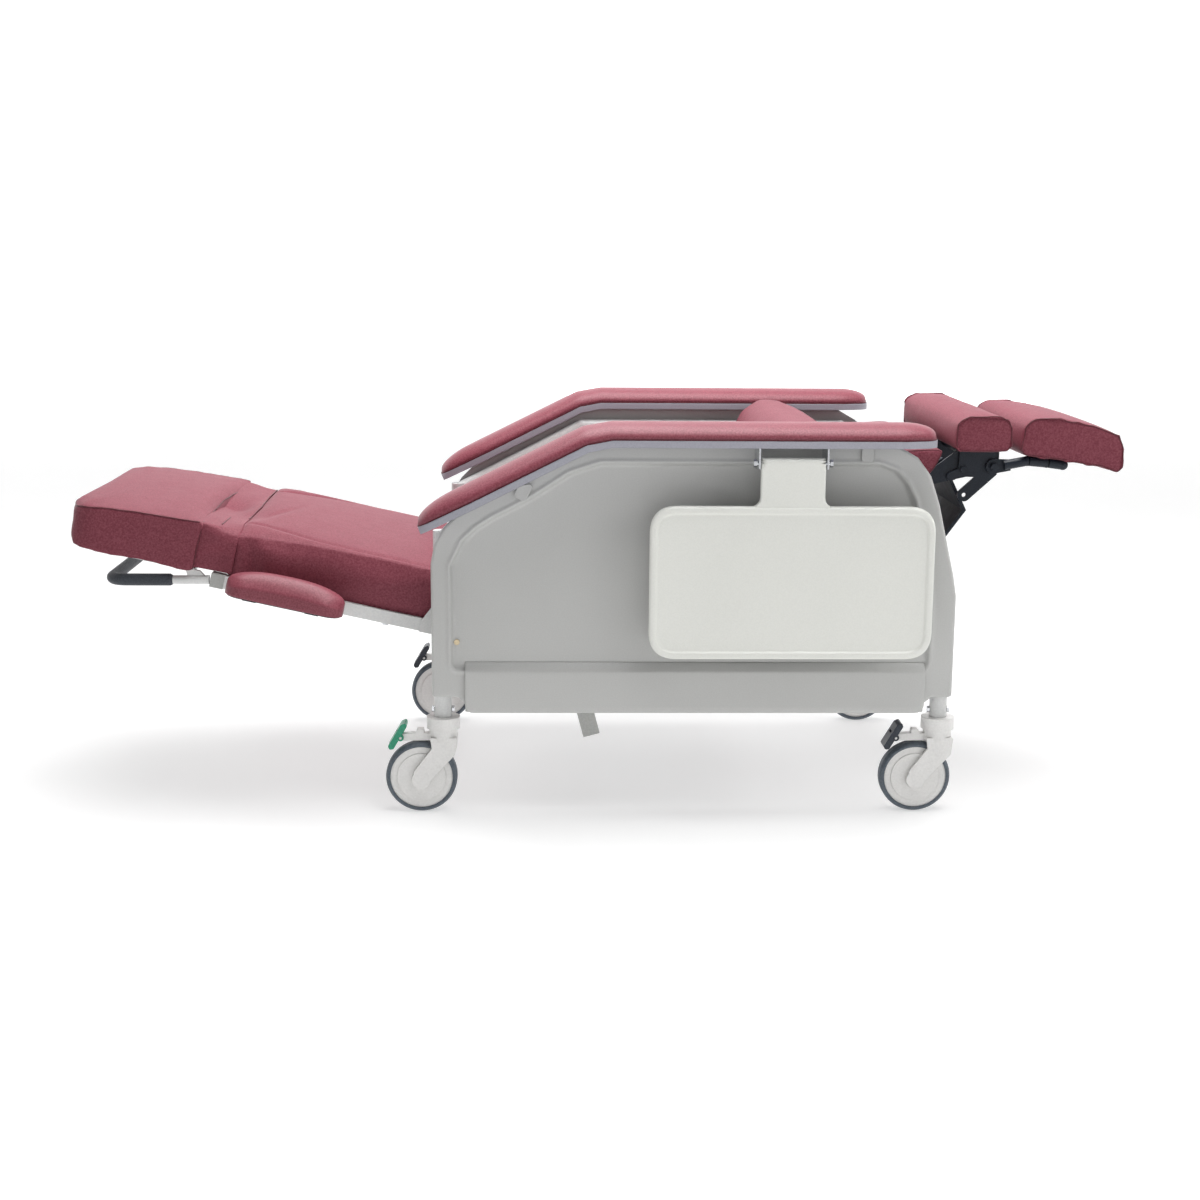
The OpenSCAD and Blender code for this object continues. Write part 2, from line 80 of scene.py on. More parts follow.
def surface(
    name,
    tint,
    tint2,
    spot=260.0,
    rough=(0.35, 0.5),
    grain=900.0,
    bump=0.15,
    depth=0.0003,
    cells=False,
    metallic=0.0,
    coat=0.0,
    sheen=0.0,
    specular=0.5,
    edge=0.0,
    cloudy=0.06,
    scuff=0.0,
):
    """A procedural finish: mottled colour, uneven roughness, grain relief and softened edges."""
    mat = bpy.data.materials.new(name)
    mat.use_nodes = True
    tree = mat.node_tree
    link = tree.links.new
    shader = tree.nodes["Principled BSDF"]
    place = node(tree, "ShaderNodeTexCoord").outputs["Object"]
    fine = node(tree, "ShaderNodeTexNoise", Scale=spot, Detail=3.0, Roughness=0.6)
    link(place, fine.inputs["Vector"])
    spread = node(tree, "ShaderNodeMapRange", From_Min=0.36, From_Max=0.64)
    link(fine.outputs["Fac"], spread.inputs["Value"])
    mix = node(tree, "ShaderNodeMix", data_type="RGBA")
    mix.inputs[6].default_value = (*tint, 1.0)
    mix.inputs[7].default_value = (*tint2, 1.0)
    link(spread.outputs["Result"], mix.inputs[0])
    cloud = node(tree, "ShaderNodeTexNoise", Scale=7.0, Detail=2.0)
    link(place, cloud.inputs["Vector"])
    shade = node(tree, "ShaderNodeMapRange", To_Min=1.0 - cloudy, To_Max=1.0 + cloudy)
    link(cloud.outputs["Fac"], shade.inputs["Value"])
    bright = node(tree, "ShaderNodeHueSaturation")
    link(mix.outputs[2], bright.inputs["Color"])
    link(shade.outputs["Result"], bright.inputs["Value"])
    colour = bright.outputs["Color"]
    if scuff:
        marks = node(tree, "ShaderNodeTexNoise", Scale=48.0, Detail=6.0, Roughness=0.75)
        link(place, marks.inputs["Vector"])
        pick = node(tree, "ShaderNodeMapRange", From_Min=0.56, From_Max=0.72, To_Max=scuff)
        link(marks.outputs["Fac"], pick.inputs["Value"])
        worn = node(tree, "ShaderNodeMix", data_type="RGBA")
        worn.inputs[7].default_value = (*[0.55 * c for c in tint], 1.0)
        link(pick.outputs["Result"], worn.inputs[0])
        link(colour, worn.inputs[6])
        colour = worn.outputs[2]
    link(colour, shader.inputs["Base Color"])
    uneven = node(tree, "ShaderNodeTexNoise", Scale=38.0, Detail=3.0)
    link(place, uneven.inputs["Vector"])
    gloss = node(tree, "ShaderNodeMapRange", To_Min=rough[0], To_Max=rough[1])
    link(uneven.outputs["Fac"], gloss.inputs["Value"])
    link(gloss.outputs["Result"], shader.inputs["Roughness"])
    if cells:
        relief = node(tree, "ShaderNodeTexVoronoi", Scale=grain)
        height = relief.outputs["Distance"]
    else:
        relief = node(tree, "ShaderNodeTexNoise", Scale=grain, Detail=2.0)
        height = relief.outputs["Fac"]
    link(place, relief.inputs["Vector"])
    lift = node(tree, "ShaderNodeBump", Strength=bump, Distance=depth)
    link(height, lift.inputs["Height"])
    if edge:
        soft = node(tree, "ShaderNodeBevel", Radius=edge, samples=4)
        link(soft.outputs["Normal"], lift.inputs["Normal"])
    link(lift.outputs["Normal"], shader.inputs["Normal"])
    shader.inputs["Metallic"].default_value = metallic
    shader.inputs["Coat Weight"].default_value = coat
    shader.inputs["Coat Roughness"].default_value = 0.25
    shader.inputs["Sheen Weight"].default_value = sheen
    shader.inputs["Specular IOR Level"].default_value = specular
    return mat


VINYL = surface(
    "rose_vinyl", (0.165, 0.037, 0.053), (0.238, 0.066, 0.087), spot=330, rough=(0.48, 0.58),
    grain=620, bump=0.35, depth=0.0004, cells=True, specular=0.11, cloudy=0.05,
)
# The cushions' rose vinyl with a lighter base colour, for the arm and side pads: painted light, a lit copy
# standing in for the brighter light on their tops.
LIT_VINYL = surface(
    "rose_vinyl_painted_lighter", (0.185, 0.041, 0.058), (0.262, 0.071, 0.093), spot=330, rough=(0.36, 0.46),
    grain=620, bump=0.35, depth=0.0004, cells=True, specular=0.26, cloudy=0.05,
)
# Vinyl for welts, piping and seam lines, painted darker than the cover: partly the cord's own colour, partly
# painted shade of the seam gaps beside it.
WELT_AND_SEAM_SHADE = surface(
    "rose_welt_and_seam_shade", (0.085, 0.014, 0.022), (0.130, 0.025, 0.037), spot=500, rough=(0.45, 0.6),
    grain=900, bump=0.3, cells=True, specular=0.35,
)
PANEL = surface(
    "grey_panel_plastic", (0.500, 0.502, 0.490), (0.530, 0.532, 0.520), spot=420,
    rough=(0.30, 0.42), grain=520, bump=0.12, depth=0.0002, edge=0.0015, cloudy=0.025,
)
TRAY = surface(
    "ivory_tray_plastic", (0.760, 0.766, 0.722), (0.790, 0.796, 0.752), spot=420,
    rough=(0.28, 0.38), grain=620, bump=0.03, depth=0.0002, edge=0.0012, cloudy=0.02,
)
WHITE = surface(
    "white_powder_paint", (0.64, 0.645, 0.64), (0.70, 0.705, 0.695), spot=300,
    rough=(0.28, 0.42), grain=700, bump=0.12, depth=0.0002, edge=0.0010, coat=0.2, scuff=0.12,
)
GREYPAINT = surface(
    "grey_bracket_paint", (0.37, 0.375, 0.36), (0.43, 0.435, 0.42), spot=300,
    rough=(0.32, 0.45), grain=700, bump=0.12, depth=0.0002, edge=0.0010, scuff=0.1,
)
BLACK = surface(
    "black_satin_paint", (0.008, 0.012, 0.020), (0.014, 0.020, 0.031), spot=400,
    rough=(0.30, 0.46), grain=800, bump=0.15, depth=0.0002, edge=0.0010, specular=0.3, scuff=0.3,
)
COVER = surface(
    "black_cover_sheet", (0.009, 0.013, 0.021), (0.018, 0.024, 0.036), spot=150,
    rough=(0.5, 0.7), grain=420, bump=0.3, depth=0.0004, cells=True, specular=0.3,
)
CHROME = surface(
    "plated_steel", (0.60, 0.62, 0.65), (0.70, 0.71, 0.73), spot=500, rough=(0.14, 0.28),
    grain=900, bump=0.05, depth=0.0001, metallic=1.0, edge=0.0006, scuff=0.15,
)
BRASS = surface(
    "brass_screw", (0.56, 0.46, 0.30), (0.64, 0.54, 0.38), spot=500, rough=(0.25, 0.4),
    grain=900, bump=0.05, metallic=1.0, edge=0.0006,
)
LILAC = surface(
    "lilac_edge_trim", (0.335, 0.332, 0.385), (0.380, 0.378, 0.430), spot=380,
    rough=(0.35, 0.48), grain=700, bump=0.12, depth=0.0002, edge=0.0022,
)
NYLON = surface(
    "caster_nylon", (0.76, 0.752, 0.735), (0.81, 0.802, 0.785), spot=260,
    rough=(0.30, 0.42), grain=500, bump=0.15, depth=0.0003, edge=0.0016, scuff=0.16,
)
TYRE = surface(
    "grey_tyre_rubber", (0.075, 0.095, 0.118), (0.105, 0.128, 0.152), spot=240,
    rough=(0.5, 0.68), grain=420, bump=0.25, depth=0.0003, edge=0.0015, scuff=0.35,
)
GREEN = surface(
    "green_pedal_plastic", (0.012, 0.235, 0.130), (0.022, 0.300, 0.170), spot=300,
    rough=(0.32, 0.46), grain=420, bump=0.25, depth=0.0004, cells=True, edge=0.0015,
)
INK = surface(
    "dark_pedal_plastic", (0.012, 0.018, 0.030), (0.022, 0.029, 0.044), spot=300,
    rough=(0.34, 0.5), grain=420, bump=0.25, depth=0.0004, cells=True, edge=0.0015,
)
FOAM = surface(
    "black_foam_grip", (0.022, 0.027, 0.036), (0.042, 0.048, 0.060), spot=420,
    rough=(0.6, 0.8), grain=560, bump=0.5, depth=0.0006, cells=True, sheen=0.15,
)

finishes = {
    WHITE: ["side_frame_left", "side_frame_right", "cross_tubes", "leg_frame", "foot_frame"],
    NYLON: ["caster_stems"] + [f"{p}_{c}" for p in ("fork", "wheel") for c in ("fl", "fr", "rl", "rr")],
    TYRE: [f"tyre_{c}" for c in ("fl", "fr", "rl", "rr")],
    CHROME: ["post_bolts", "tray_bracket", "tray_pin_shaft", "leg_bolts"]
    + [f"axle_{c}" for c in ("fl", "fr", "rl", "rr")],
    GREEN: ["pedal_fl"],
    INK: ["pedal_fr", "pedal_rl", "pedal_rr"],
    BRASS: ["panel_screws"],
    GREYPAINT: ["under_strut", "leg_bushings"],
    PANEL: ["arm_brackets"],
    BLACK: ["seat_frame", "back_frame", "back_plates", "back_bolts", "headrest_bar", "side_pad_bases"],
    COVER: ["rear_cover"],
    LILAC: ["arm_trim_left", "arm_trim_right"],
}
for finish, names in finishes.items():
    for n in names:
        mesh = nodes[n].data
        mesh.materials.clear()
        mesh.materials.append(finish)

# ---------------------------------------------------------------- mesh tools


def add(name, verts, faces, mat, body=None, slot=None, smooth=True):
    """A mesh object in the shared frame, riding on a body."""
    mesh = bpy.data.meshes.new(name)
    mesh.from_pydata([tuple(map(float, v)) for v in verts], [], faces)
    mesh.update()
    mesh.polygons.foreach_set("use_smooth", [smooth] * len(mesh.polygons))
    mesh.materials.append(mat)
    ob = bpy.data.objects.new(name, mesh)
    scene.collection.objects.link(ob)
    if slot:
        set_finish(ob, slot)
    if body:
        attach(ob, body)
    return ob


def grid_faces(rows, cols, closed):
    """Quads between consecutive rows of points; closed rows wrap round."""
    last = cols if closed else cols - 1
    return [
        (r * cols + c, r * cols + (c + 1) % cols, (r + 1) * cols + (c + 1) % cols, (r + 1) * cols + c)
        for r in range(rows - 1)
        for c in range(last)
    ]


def loft(name, rings, mat, body=None, slot=None, caps=(True, True)):
    """A closed skin through rings of equal length."""
    rows, cols = len(rings), len(rings[0])
    faces = grid_faces(rows, cols, True)
    if caps[0]:
        faces.append(tuple(range(cols - 1, -1, -1)))
    if caps[1]:
        faces.append(tuple((rows - 1) * cols + c for c in range(cols)))
    return add(name, np.concatenate(rings), faces, mat, body, slot)


def tube(name, path, radius, mat, body=None, slot=None, closed=False, sides=10, ends=0.0):
    """A round strip along a path. ends rounds its two ends over that length."""
    path = np.asarray(path, float)
    ahead = np.roll(path, -1, 0) - path
    behind = path - np.roll(path, 1, 0)
    if not closed:
        ahead[-1], behind[0] = behind[-1], ahead[0]
    run = ahead / np.linalg.norm(ahead, axis=1)[:, None] + behind / np.linalg.norm(behind, axis=1)[:, None]
    run /= np.linalg.norm(run, axis=1)[:, None]
    side = np.cross(run[0], (0.0, 0.0, 1.0))
    if np.linalg.norm(side) < 0.1:
        side = np.cross(run[0], (0.0, 1.0, 0.0))
    far = np.concatenate([[0], np.cumsum(np.linalg.norm(np.diff(path, axis=0), axis=1))])
    rings = []
    turn = np.linspace(0, 2 * np.pi, sides, endpoint=False)
    for i, (p, t) in enumerate(zip(path, run)):
        side = side - t * (side @ t)
        side /= np.linalg.norm(side)
        up = np.cross(t, side)
        r = radius
        if ends and not closed:
            gap = min(far[i], far[-1] - far[i]) / ends
            r = radius * (0.72 + 0.28 * math.sqrt(max(0.0, 1 - (1 - min(gap, 1)) ** 2)))
        rings.append(p + r * (np.cos(turn)[:, None] * side + np.sin(turn)[:, None] * up))
    if closed:
        rows, cols = len(rings), sides
        faces = []
        for r in range(rows):
            here, past = r * cols, (r + 1) % rows * cols
            for c in range(cols):
                d = (c + 1) % cols
                faces.append((here + c, past + c, past + d, here + d))
        return add(name, np.concatenate(rings), faces, mat, body, slot)
    return loft(name, rings, mat, body, slot)


def rounded(poly, radius, step=0.002):
    """A closed 2-D outline with its corners rounded. radius is one number, or one for each corner."""
    poly = np.asarray(poly, float)
    n = len(poly)
    radii = radius if hasattr(radius, "__len__") else [radius] * n
    out = []
    for i in range(n):
        p, a, b = poly[i], poly[i - 1], poly[(i + 1) % n]
        u, v = a - p, b - p
        lu, lv = np.linalg.norm(u), np.linalg.norm(v)
        u, v = u / lu, v / lv
        half = math.acos(max(-1.0, min(1.0, float(u @ v)))) / 2
        r = radii[i]
        cut = min(r / math.tan(half), 0.48 * lu, 0.48 * lv) if half < 1.55 else 0.0
        if cut < 1e-5:
            out.append(p)
            continue
        q0, q1 = p + u * cut, p + v * cut
        for t in np.linspace(0, 1, max(3, int(cut / step))):
            out.append((1 - t) ** 2 * q0 + 2 * t * (1 - t) * p + t * t * q1)
    return np.array(out)


def spaced(loop, count, start=None):
    """A closed 2-D loop resampled to count points at equal steps, from the point nearest to start."""
    loop = np.asarray(loop, float)
    if start is not None:
        loop = np.roll(loop, -int(np.argmin(np.linalg.norm(loop - start, axis=1))), 0)
    ring = np.vstack([loop, loop[:1]])
    s = np.concatenate([[0], np.cumsum(np.linalg.norm(np.diff(ring, axis=0), axis=1))])
    at = np.linspace(0, s[-1], count, endpoint=False)
    return np.column_stack([np.interp(at, s, ring[:, 0]), np.interp(at, s, ring[:, 1])])


def outward(loop):
    """Unit normals of a closed 2-D loop, pointing out."""
    run = np.roll(loop, -1, 0) - np.roll(loop, 1, 0)
    run /= np.linalg.norm(run, axis=1)[:, None]
    normal = np.column_stack([run[:, 1], -run[:, 0]])
    area = np.sum(loop[:, 0] * np.roll(loop[:, 1], -1) - np.roll(loop[:, 0], -1) * loop[:, 1])
    return normal if area > 0 else -normal


def spread_loop(loop, distance):
    """A closed 2-D loop moved outward."""
    return loop + distance * outward(loop)


def get(ob):
    co = np.empty(len(ob.data.vertices) * 3)
    ob.data.vertices.foreach_get("co", co)
    return co.reshape(-1, 3)


def put(ob, co):
    ob.data.vertices.foreach_set("co", np.ascontiguousarray(co, float).ravel())
    ob.data.update()


def normals(ob):
    n = np.empty(len(ob.data.vertices) * 3)
    ob.data.vertices.foreach_get("normal", n)
    return n.reshape(-1, 3)


def settle(ob):
    """Applies the modifiers."""
    graph = bpy.context.evaluated_depsgraph_get()
    mesh = bpy.data.meshes.new_from_object(ob.evaluated_get(graph), depsgraph=graph)
    ob.modifiers.clear()
    ob.data = mesh


def relax(ob, times, keep=None):
    """Evens a mesh out by moving each point towards its neighbours."""
    edges = np.array([e.vertices[:] for e in ob.data.edges])
    co = get(ob)
    count = np.bincount(edges.ravel(), minlength=len(co))[:, None]
    for _ in range(times):
        total = np.zeros_like(co)
        np.add.at(total, edges[:, 0], co[edges[:, 1]])
        np.add.at(total, edges[:, 1], co[edges[:, 0]])
        moved = 0.5 * co + 0.5 * total / np.maximum(count, 1)
        co = moved if keep is None else np.where(keep[:, None], co, moved)
    put(ob, co)


def away(co, path, closed=False):
    """Distance of each point from a polyline."""
    path = np.asarray(path, float)
    ends = np.roll(path, -1, 0) if closed else path[1:]
    best = np.full(len(co), 9.0)
    for p, q in zip(path, ends):
        d = q - p
        t = np.clip((co - p) @ d / max(d @ d, 1e-12), 0, 1)
        best = np.minimum(best, np.linalg.norm(co - p - t[:, None] * d, axis=1))
    return best


def inflate(ob, held, cap, pressure):
    """Blows the cover up from inside with cloth simulation, and keeps the result."""
    group = ob.vertex_groups.new(name="held")
    group.add([int(i) for i in np.nonzero(held)[0]], 1.0, "REPLACE")
    cloth = ob.modifiers.new("cloth", "CLOTH")
    s = cloth.settings
    s.quality = 4
    s.mass = 0.3
    s.use_pressure = True
    s.uniform_pressure_force = pressure
    s.effector_weights.gravity = 0.0
    s.vertex_group_mass = "held"
    cloth.point_cache.frame_start = 1
    cloth.point_cache.frame_end = 20
    before = get(ob)
    for f in range(1, 21):
        scene.frame_set(f)
    graph = bpy.context.evaluated_depsgraph_get()
    blown = ob.evaluated_get(graph)
    after = np.empty(len(before) * 3)
    blown.data.vertices.foreach_get("co", after)
    after = after.reshape(-1, 3)
    ob.modifiers.clear()
    ob.vertex_groups.clear()
    scene.frame_set(1)
    move = np.nan_to_num(after - before)
    size = np.linalg.norm(move, axis=1)[:, None]
    put(ob, before + move * np.minimum(1.0, cap / np.maximum(size, 1e-9)))


def skin_of(ob):
    """A mesh object's surface, to cast rays at and find nearest points on."""
    mesh = ob.data
    return BVHTree.FromPolygons([v.co.copy() for v in mesh.vertices], [p.vertices[:] for p in mesh.polygons])


def plain_axes(co):
    return co


def cushion(
    name, source, body, voxel=0.006, inset=0.005, cap=0.012, pressure=4.0, seams=(), rest=None,
    groove=0.0025, groove_w=0.005, after=None, axes=(plain_axes, plain_axes), welts=None,
    margin=0.0010, lift=0.0, sink=0.0, even=2,
):
    """A stuffed cover made from the space its CAD solid holds. The solid is remeshed and smoothed
    even times. Seams are (path, closed) pairs that stay where they are sewn while the panels
    between them swell. The result is brought back to the solid's own extents, measured along axes
    and lowered by sink at the bottom. after gives the cover its last shape, and a welt is laid
    along each seam named in welts, lift above the skin."""
    to_local, to_world = axes
    ob = bpy.data.objects.new(name, nodes[source].data.copy())
    scene.collection.objects.link(ob)
    grid = ob.modifiers.new("grid", "REMESH")
    grid.mode = "VOXEL"
    grid.voxel_size = voxel
    settle(ob)
    relax(ob, even)
    put(ob, get(ob) - inset * normals(ob))
    co = get(ob)
    if even > 2:
        skin = skin_of(ob)
        seams = [
            (np.array([skin.find_nearest(Vector(q))[0] for q in path]), closed)
            for path, closed in seams
        ]
    held = np.zeros(len(co), bool)
    for path, closed in seams:
        held |= away(co, path, closed) < 0.8 * voxel
    if rest is not None:
        held |= rest(co)
    inflate(ob, held, cap, pressure)
    relax(ob, 2, held)
    ob.modifiers.new("fine", "SUBSURF").levels = 1
    settle(ob)
    now, real = to_local(get(ob)), to_local(get(nodes[source]))
    low, high = now.min(0), now.max(0)
    real_low, real_high = real.min(0) - margin, real.max(0) + margin
    real_low[2] -= sink

    def fit(co):
        return to_world(real_low + (to_local(np.asarray(co)) - low) / (high - low) * (real_high - real_low))

    put(ob, fit(get(ob)))
    seams = [(fit(path), closed) for path, closed in seams]
    co, n = get(ob), normals(ob)
    for path, closed in seams:
        co = co - groove * np.exp(-((away(co, path, closed) / groove_w) ** 2))[:, None] * n
    if after is not None:
        co = after(co, n)
    put(ob, co)
    ob.data.polygons.foreach_set("use_smooth", [True] * len(ob.data.polygons))
    ob.data.materials.clear()
    ob.data.materials.append(VINYL)
    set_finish(ob, "upholstery")
    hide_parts(source)
    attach(ob, body)
    skin = skin_of(ob)
    for k, (path, closed) in enumerate(seams):
        if welts is not None and k not in welts:
            continue
        if after is not None:
            path = after(path, np.zeros_like(path))
        spots = [skin.find_nearest(Vector(q))[:2] for q in path]
        line = np.array([np.array(spot) + lift * np.array(way) for spot, way in spots])
        for _ in range(3):
            mean = (np.roll(line, 1, 0) + np.roll(line, -1, 0)) / 2
            if not closed:
                mean[0], mean[-1] = line[0], line[-1]
            line = (line + mean) / 2
        # Each welt takes the darker welt colour, which is partly painted shade of the seam gap.
        tube(f"{name}_welt_{k + 1}", line, welt_r, WELT_AND_SEAM_SHADE, body, "upholstery", closed=closed, sides=8)
    return ob


def end_outline(name, side):
    """The X-Z outline of a cushion's flat end, from its CAD solid, in order."""
    low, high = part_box(name)
    y = low.y if side < 0 else high.y
    mesh = nodes[name].data
    keyed = lambda v: (round(v.co.x, 5), round(v.co.z, 5))
    seen = {}
    for p in mesh.polygons:
        if all(abs(mesh.vertices[i].co.y - y) < 1e-5 for i in p.vertices):
            ks = [keyed(mesh.vertices[i]) for i in p.vertices]
            for a, b in zip(ks, ks[1:] + ks[:1]):
                seen[frozenset((a, b))] = seen.get(frozenset((a, b)), 0) + 1
    links = {}
    for pair, times in seen.items():
        if times == 1 and len(pair) == 2:
            a, b = tuple(pair)
            links.setdefault(a, []).append(b)
            links.setdefault(b, []).append(a)
    start = min(links)
    loop, last, here = [start], None, start
    while True:
        step = [k for k in links[here] if k != last]
        last, here = here, step[0]
        if here == start or len(loop) > len(links):
            break
        loop.append(here)
    return np.array(loop), y


def end_seam(name, side, inset, count=150):
    """The piped seam round a cushion's end panel."""
    loop, y = end_outline(name, side)
    loop = spread_loop(spaced(loop, count), -inset)
    return np.column_stack([loop[:, 0], np.full(count, y - side * inset), loop[:, 1]])


def mirrored(ob, name, body):
    """The same piece on the other side of the chair."""
    mesh = ob.data.copy()
    mesh.transform(Matrix.Scale(-1, 4, (0, 1, 0)))
    mesh.flip_normals()
    other = bpy.data.objects.new(name, mesh)
    scene.collection.objects.link(other)
    if "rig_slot" in ob:
        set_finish(other, ob["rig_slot"])
    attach(other, body)
    return other


# ---------------------------------------------------------------- the legrest's own directions

leg_pivot = np.array(joints["legrest_swing"]["pos_m"], float)
fold_pivot = np.array(joints["footrest_fold"]["pos_m"], float)
leg_run = fold_pivot - leg_pivot
fold_s = float(np.linalg.norm(leg_run))
leg_run /= fold_s
leg_up = np.array([leg_run[2], 0.0, -leg_run[0]])


def leg(s, y, n):
    """A point s out along the legrest, y across and n up from its plane."""
    s, y, n = np.broadcast_arrays(np.asarray(s, float), np.asarray(y, float), np.asarray(n, float))
    return leg_pivot + s[..., None] * leg_run + n[..., None] * leg_up + y[..., None] * np.array([0, 1.0, 0])


def leg_sn(co):
    rel = co - leg_pivot
    return rel @ leg_run, rel @ leg_up


# ---------------------------------------------------------------- cushions of seat, back and head

welt_r = 0.0013


def back_corner(co, n):
    """Slopes off the lower rear corner of the back cushion."""
    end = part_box("back_cushion")[1]
    past = (co[:, 0] - end.x + 0.003) * 0.883 - (co[:, 2] - end.z + 0.010) * 0.470
    return co - np.maximum(past, 0)[:, None] * np.array([0.883, 0.0, -0.470])


for name, source, body, cap, voxel, sink, even in (
    ("bolster_cushion", "shoulder_bolster", "back", 0.012, 0.005, 0.005, 6),
    ("headrest_pad", "headrest_cushion", "headrest", 0.012, 0.005, 0.005, 6),
    ("seat_pad", "seat_cushion", "seat", 0.012, 0.010, 0.0, 2),
    ("back_pad", "back_cushion", "back", 0.010, 0.009, 0.0, 2),
    ("lumbar_pad", "lumbar_cushion", "back", 0.007, 0.007, 0.0, 2),
):
    inset = 0.006
    cushion(
        name, source, body, voxel=voxel, inset=inset, cap=cap, groove=0.0015, groove_w=0.004,
        sink=sink, even=even, seams=[(end_seam(source, side, inset), True) for side in (-1, 1)],
        after=back_corner if name == "back_pad" else None,
    )

# ---------------------------------------------------------------- legrest cushion

leg_axes = (
    lambda co: np.column_stack([*leg_sn(co), co[:, 1]]),
    lambda k: leg(k[:, 0], k[:, 2], k[:, 1]),
)
leg_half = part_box("calf_cushion")[1].y
calf_s, calf_n = leg_sn(get(nodes["calf_cushion"]))
calf_end, calf_top = float(calf_s.max()), float(calf_n.max())
foot_s = leg_sn(get(nodes["foot_cushion"]))[0]
foot_start, foot_end = float(foot_s.min()), float(foot_s.max())
foot_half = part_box("foot_cushion")[1].y


def crease_y(s):
    """How far from the middle the soft crease runs, which turns inward near the fold."""
    out = np.interp(s / calf_end, [0.1, 0.42, 0.65, 0.94, 1.03], [0.985, 0.970, 0.925, 0.745, 0.665])
    return out * (leg_half - 0.011)


def edge_drop(s, y):
    """How far the roll outside the crease falls."""
    c = crease_y(s)
    t = np.clip((np.abs(y) - c) / np.maximum(leg_half - c, 0.012), 0, 1)
    deepest = np.where(np.asarray(y) > 0, 0.002, 0.014)
    return deepest * t**1.4 * np.interp(s, [calf_end - 0.15, calf_end - 0.03, foot_start], [0.35, 1.0, 0.45])


calf_seams = []
for side in (-1, 1):
    s = np.linspace(0.02, calf_end - 0.022, 60)
    n = calf_top - 0.005 - 0.007 * np.clip((s - calf_end + 0.06) / 0.06, 0, 1) ** 1.5
    calf_seams.append((leg(s, side * crease_y(s), n), False))


def calf_shape(co, n):
    """Rolls the edge down outside the crease, puckers the cover beside the fold strip, and squares
    the lower corner at the seat end."""
    s, up = leg_sn(co)
    y = co[:, 1]
    top = np.clip((up - 0.005) / 0.03, 0, 1)
    near = np.exp(-(((s - (calf_end - 0.030)) / 0.022) ** 2) - ((y + 0.11) / 0.05) ** 2)
    fold = np.exp(-(((s - (calf_end - 0.050) + 0.30 * (y + 0.10)) / 0.010) ** 2) - ((y + 0.06) / 0.07) ** 2)
    dent = 0.0055 * near + 0.0030 * fold + edge_drop(s, y)
    dent -= (0.003 + 0.003 * np.clip((y + 0.05) / 0.10, 0, 1)) * np.clip((s - calf_end + 0.07) / 0.06, 0, 1)
    side = np.clip((np.abs(y) - leg_half + 0.016) / 0.014, 0, 1)
    wave = 0.0020 * np.sin(s * 31.0 + 1.3) * np.clip((0.03 - up) / 0.05, 0, 1)
    tuck = 0.004 * np.exp(-(((s - calf_end + 0.045 - 0.35 * up) / 0.016) ** 2))
    tuck -= 0.003 * np.exp(-(((s - calf_end + 0.090 - 0.35 * up) / 0.022) ** 2))
    square = 0.018 * np.clip((-0.020 - up) / 0.018, 0, 1) * np.clip((0.070 - s) / 0.045, 0, 1)
    co = co - square[:, None] * leg_run
    return co - (dent * top)[:, None] * leg_up - ((wave + tuck) * side)[:, None] * n


calf = cushion(
    "calf_pad", "calf_cushion", "legrest", voxel=0.007, inset=0.005, cap=0.010, seams=calf_seams,
    rest=lambda co: leg_sn(co)[1] < -0.030, groove=0.0030, groove_w=0.007, after=calf_shape,
    axes=leg_axes, welts=(),
)

# ---------------------------------------------------------------- footrest cover

inset = 0.004
edge_s, edge_y = foot_end - inset, foot_half - inset
plan = rounded(
    [(foot_start + inset, -edge_y), (edge_s - 0.006, -edge_y), (edge_s, -0.19), (edge_s, 0.19),
     (edge_s - 0.006, edge_y), (foot_start + inset, edge_y)],
    [0.0, 0.058, 0.20, 0.20, 0.058, 0.0],
)
plan = np.array([q for q in spaced(plan, 420) if q[0] > foot_start + inset + 0.002])


def foot_rise(s):
    """Height of the cover's top edge along the footrest."""
    stations = [foot_start, foot_start + 0.11, foot_end - 0.030, foot_end]
    return np.interp(s, stations, [0.044, 0.0445, 0.036, 0.026])


foot_seam = leg(plan[:, 0], plan[:, 1], foot_rise(plan[:, 0]))
up_side = np.linspace(-0.036, 0.034, 16)
over = np.linspace(-edge_y + 0.010, edge_y - 0.010, 100)
hem = [(-edge_y, n) for n in up_side] + [(y, 0.0435) for y in over] + [(edge_y, n) for n in up_side[::-1]]
hem = np.array(hem)
foot_hem = leg(np.full(len(hem), foot_start + inset), hem[:, 0], hem[:, 1])


def foot_shape(co, n):
    """A wavy free edge over the strip, and slight pulls down the sides."""
    s, up = leg_sn(co)
    y = co[:, 1]
    edge = np.exp(-(((s - foot_start) / 0.016) ** 2)) * np.clip(up / 0.02, 0, 1)
    wave = 0.0022 * edge * np.sin(19 * y + 0.6)
    sway = 0.0030 * edge * np.sin(13 * y + 1.9)
    side = np.clip((np.abs(y) - foot_half + 0.02) / 0.016, 0, 1)
    low = 0.0016 * np.sin(s * 44.0) * side * np.clip((0.01 - up) / 0.04, 0, 1)
    drop = np.clip((-0.02 - up) / 0.02, 0, 1) * -0.004
    front = np.clip((up + 0.005) / 0.03, 0, 1) * np.clip((s - foot_end + 0.055) / 0.04, 0, 1)
    rise = 0.006 * np.clip(up / 0.03, 0, 1) * np.clip((foot_start + 0.11 - s) / 0.10, 0, 1)
    corner = front * np.clip((np.abs(y) - foot_half + 0.090) / 0.085, 0, 1) ** 2
    co = co + (0.011 * front - 0.018 * corner)[:, None] * leg_run
    co = co + (rise + 0.003 * front - 0.006 * corner)[:, None] * leg_up
    return co + wave[:, None] * leg_up + sway[:, None] * leg_run + low[:, None] * n + drop[:, None] * leg_up


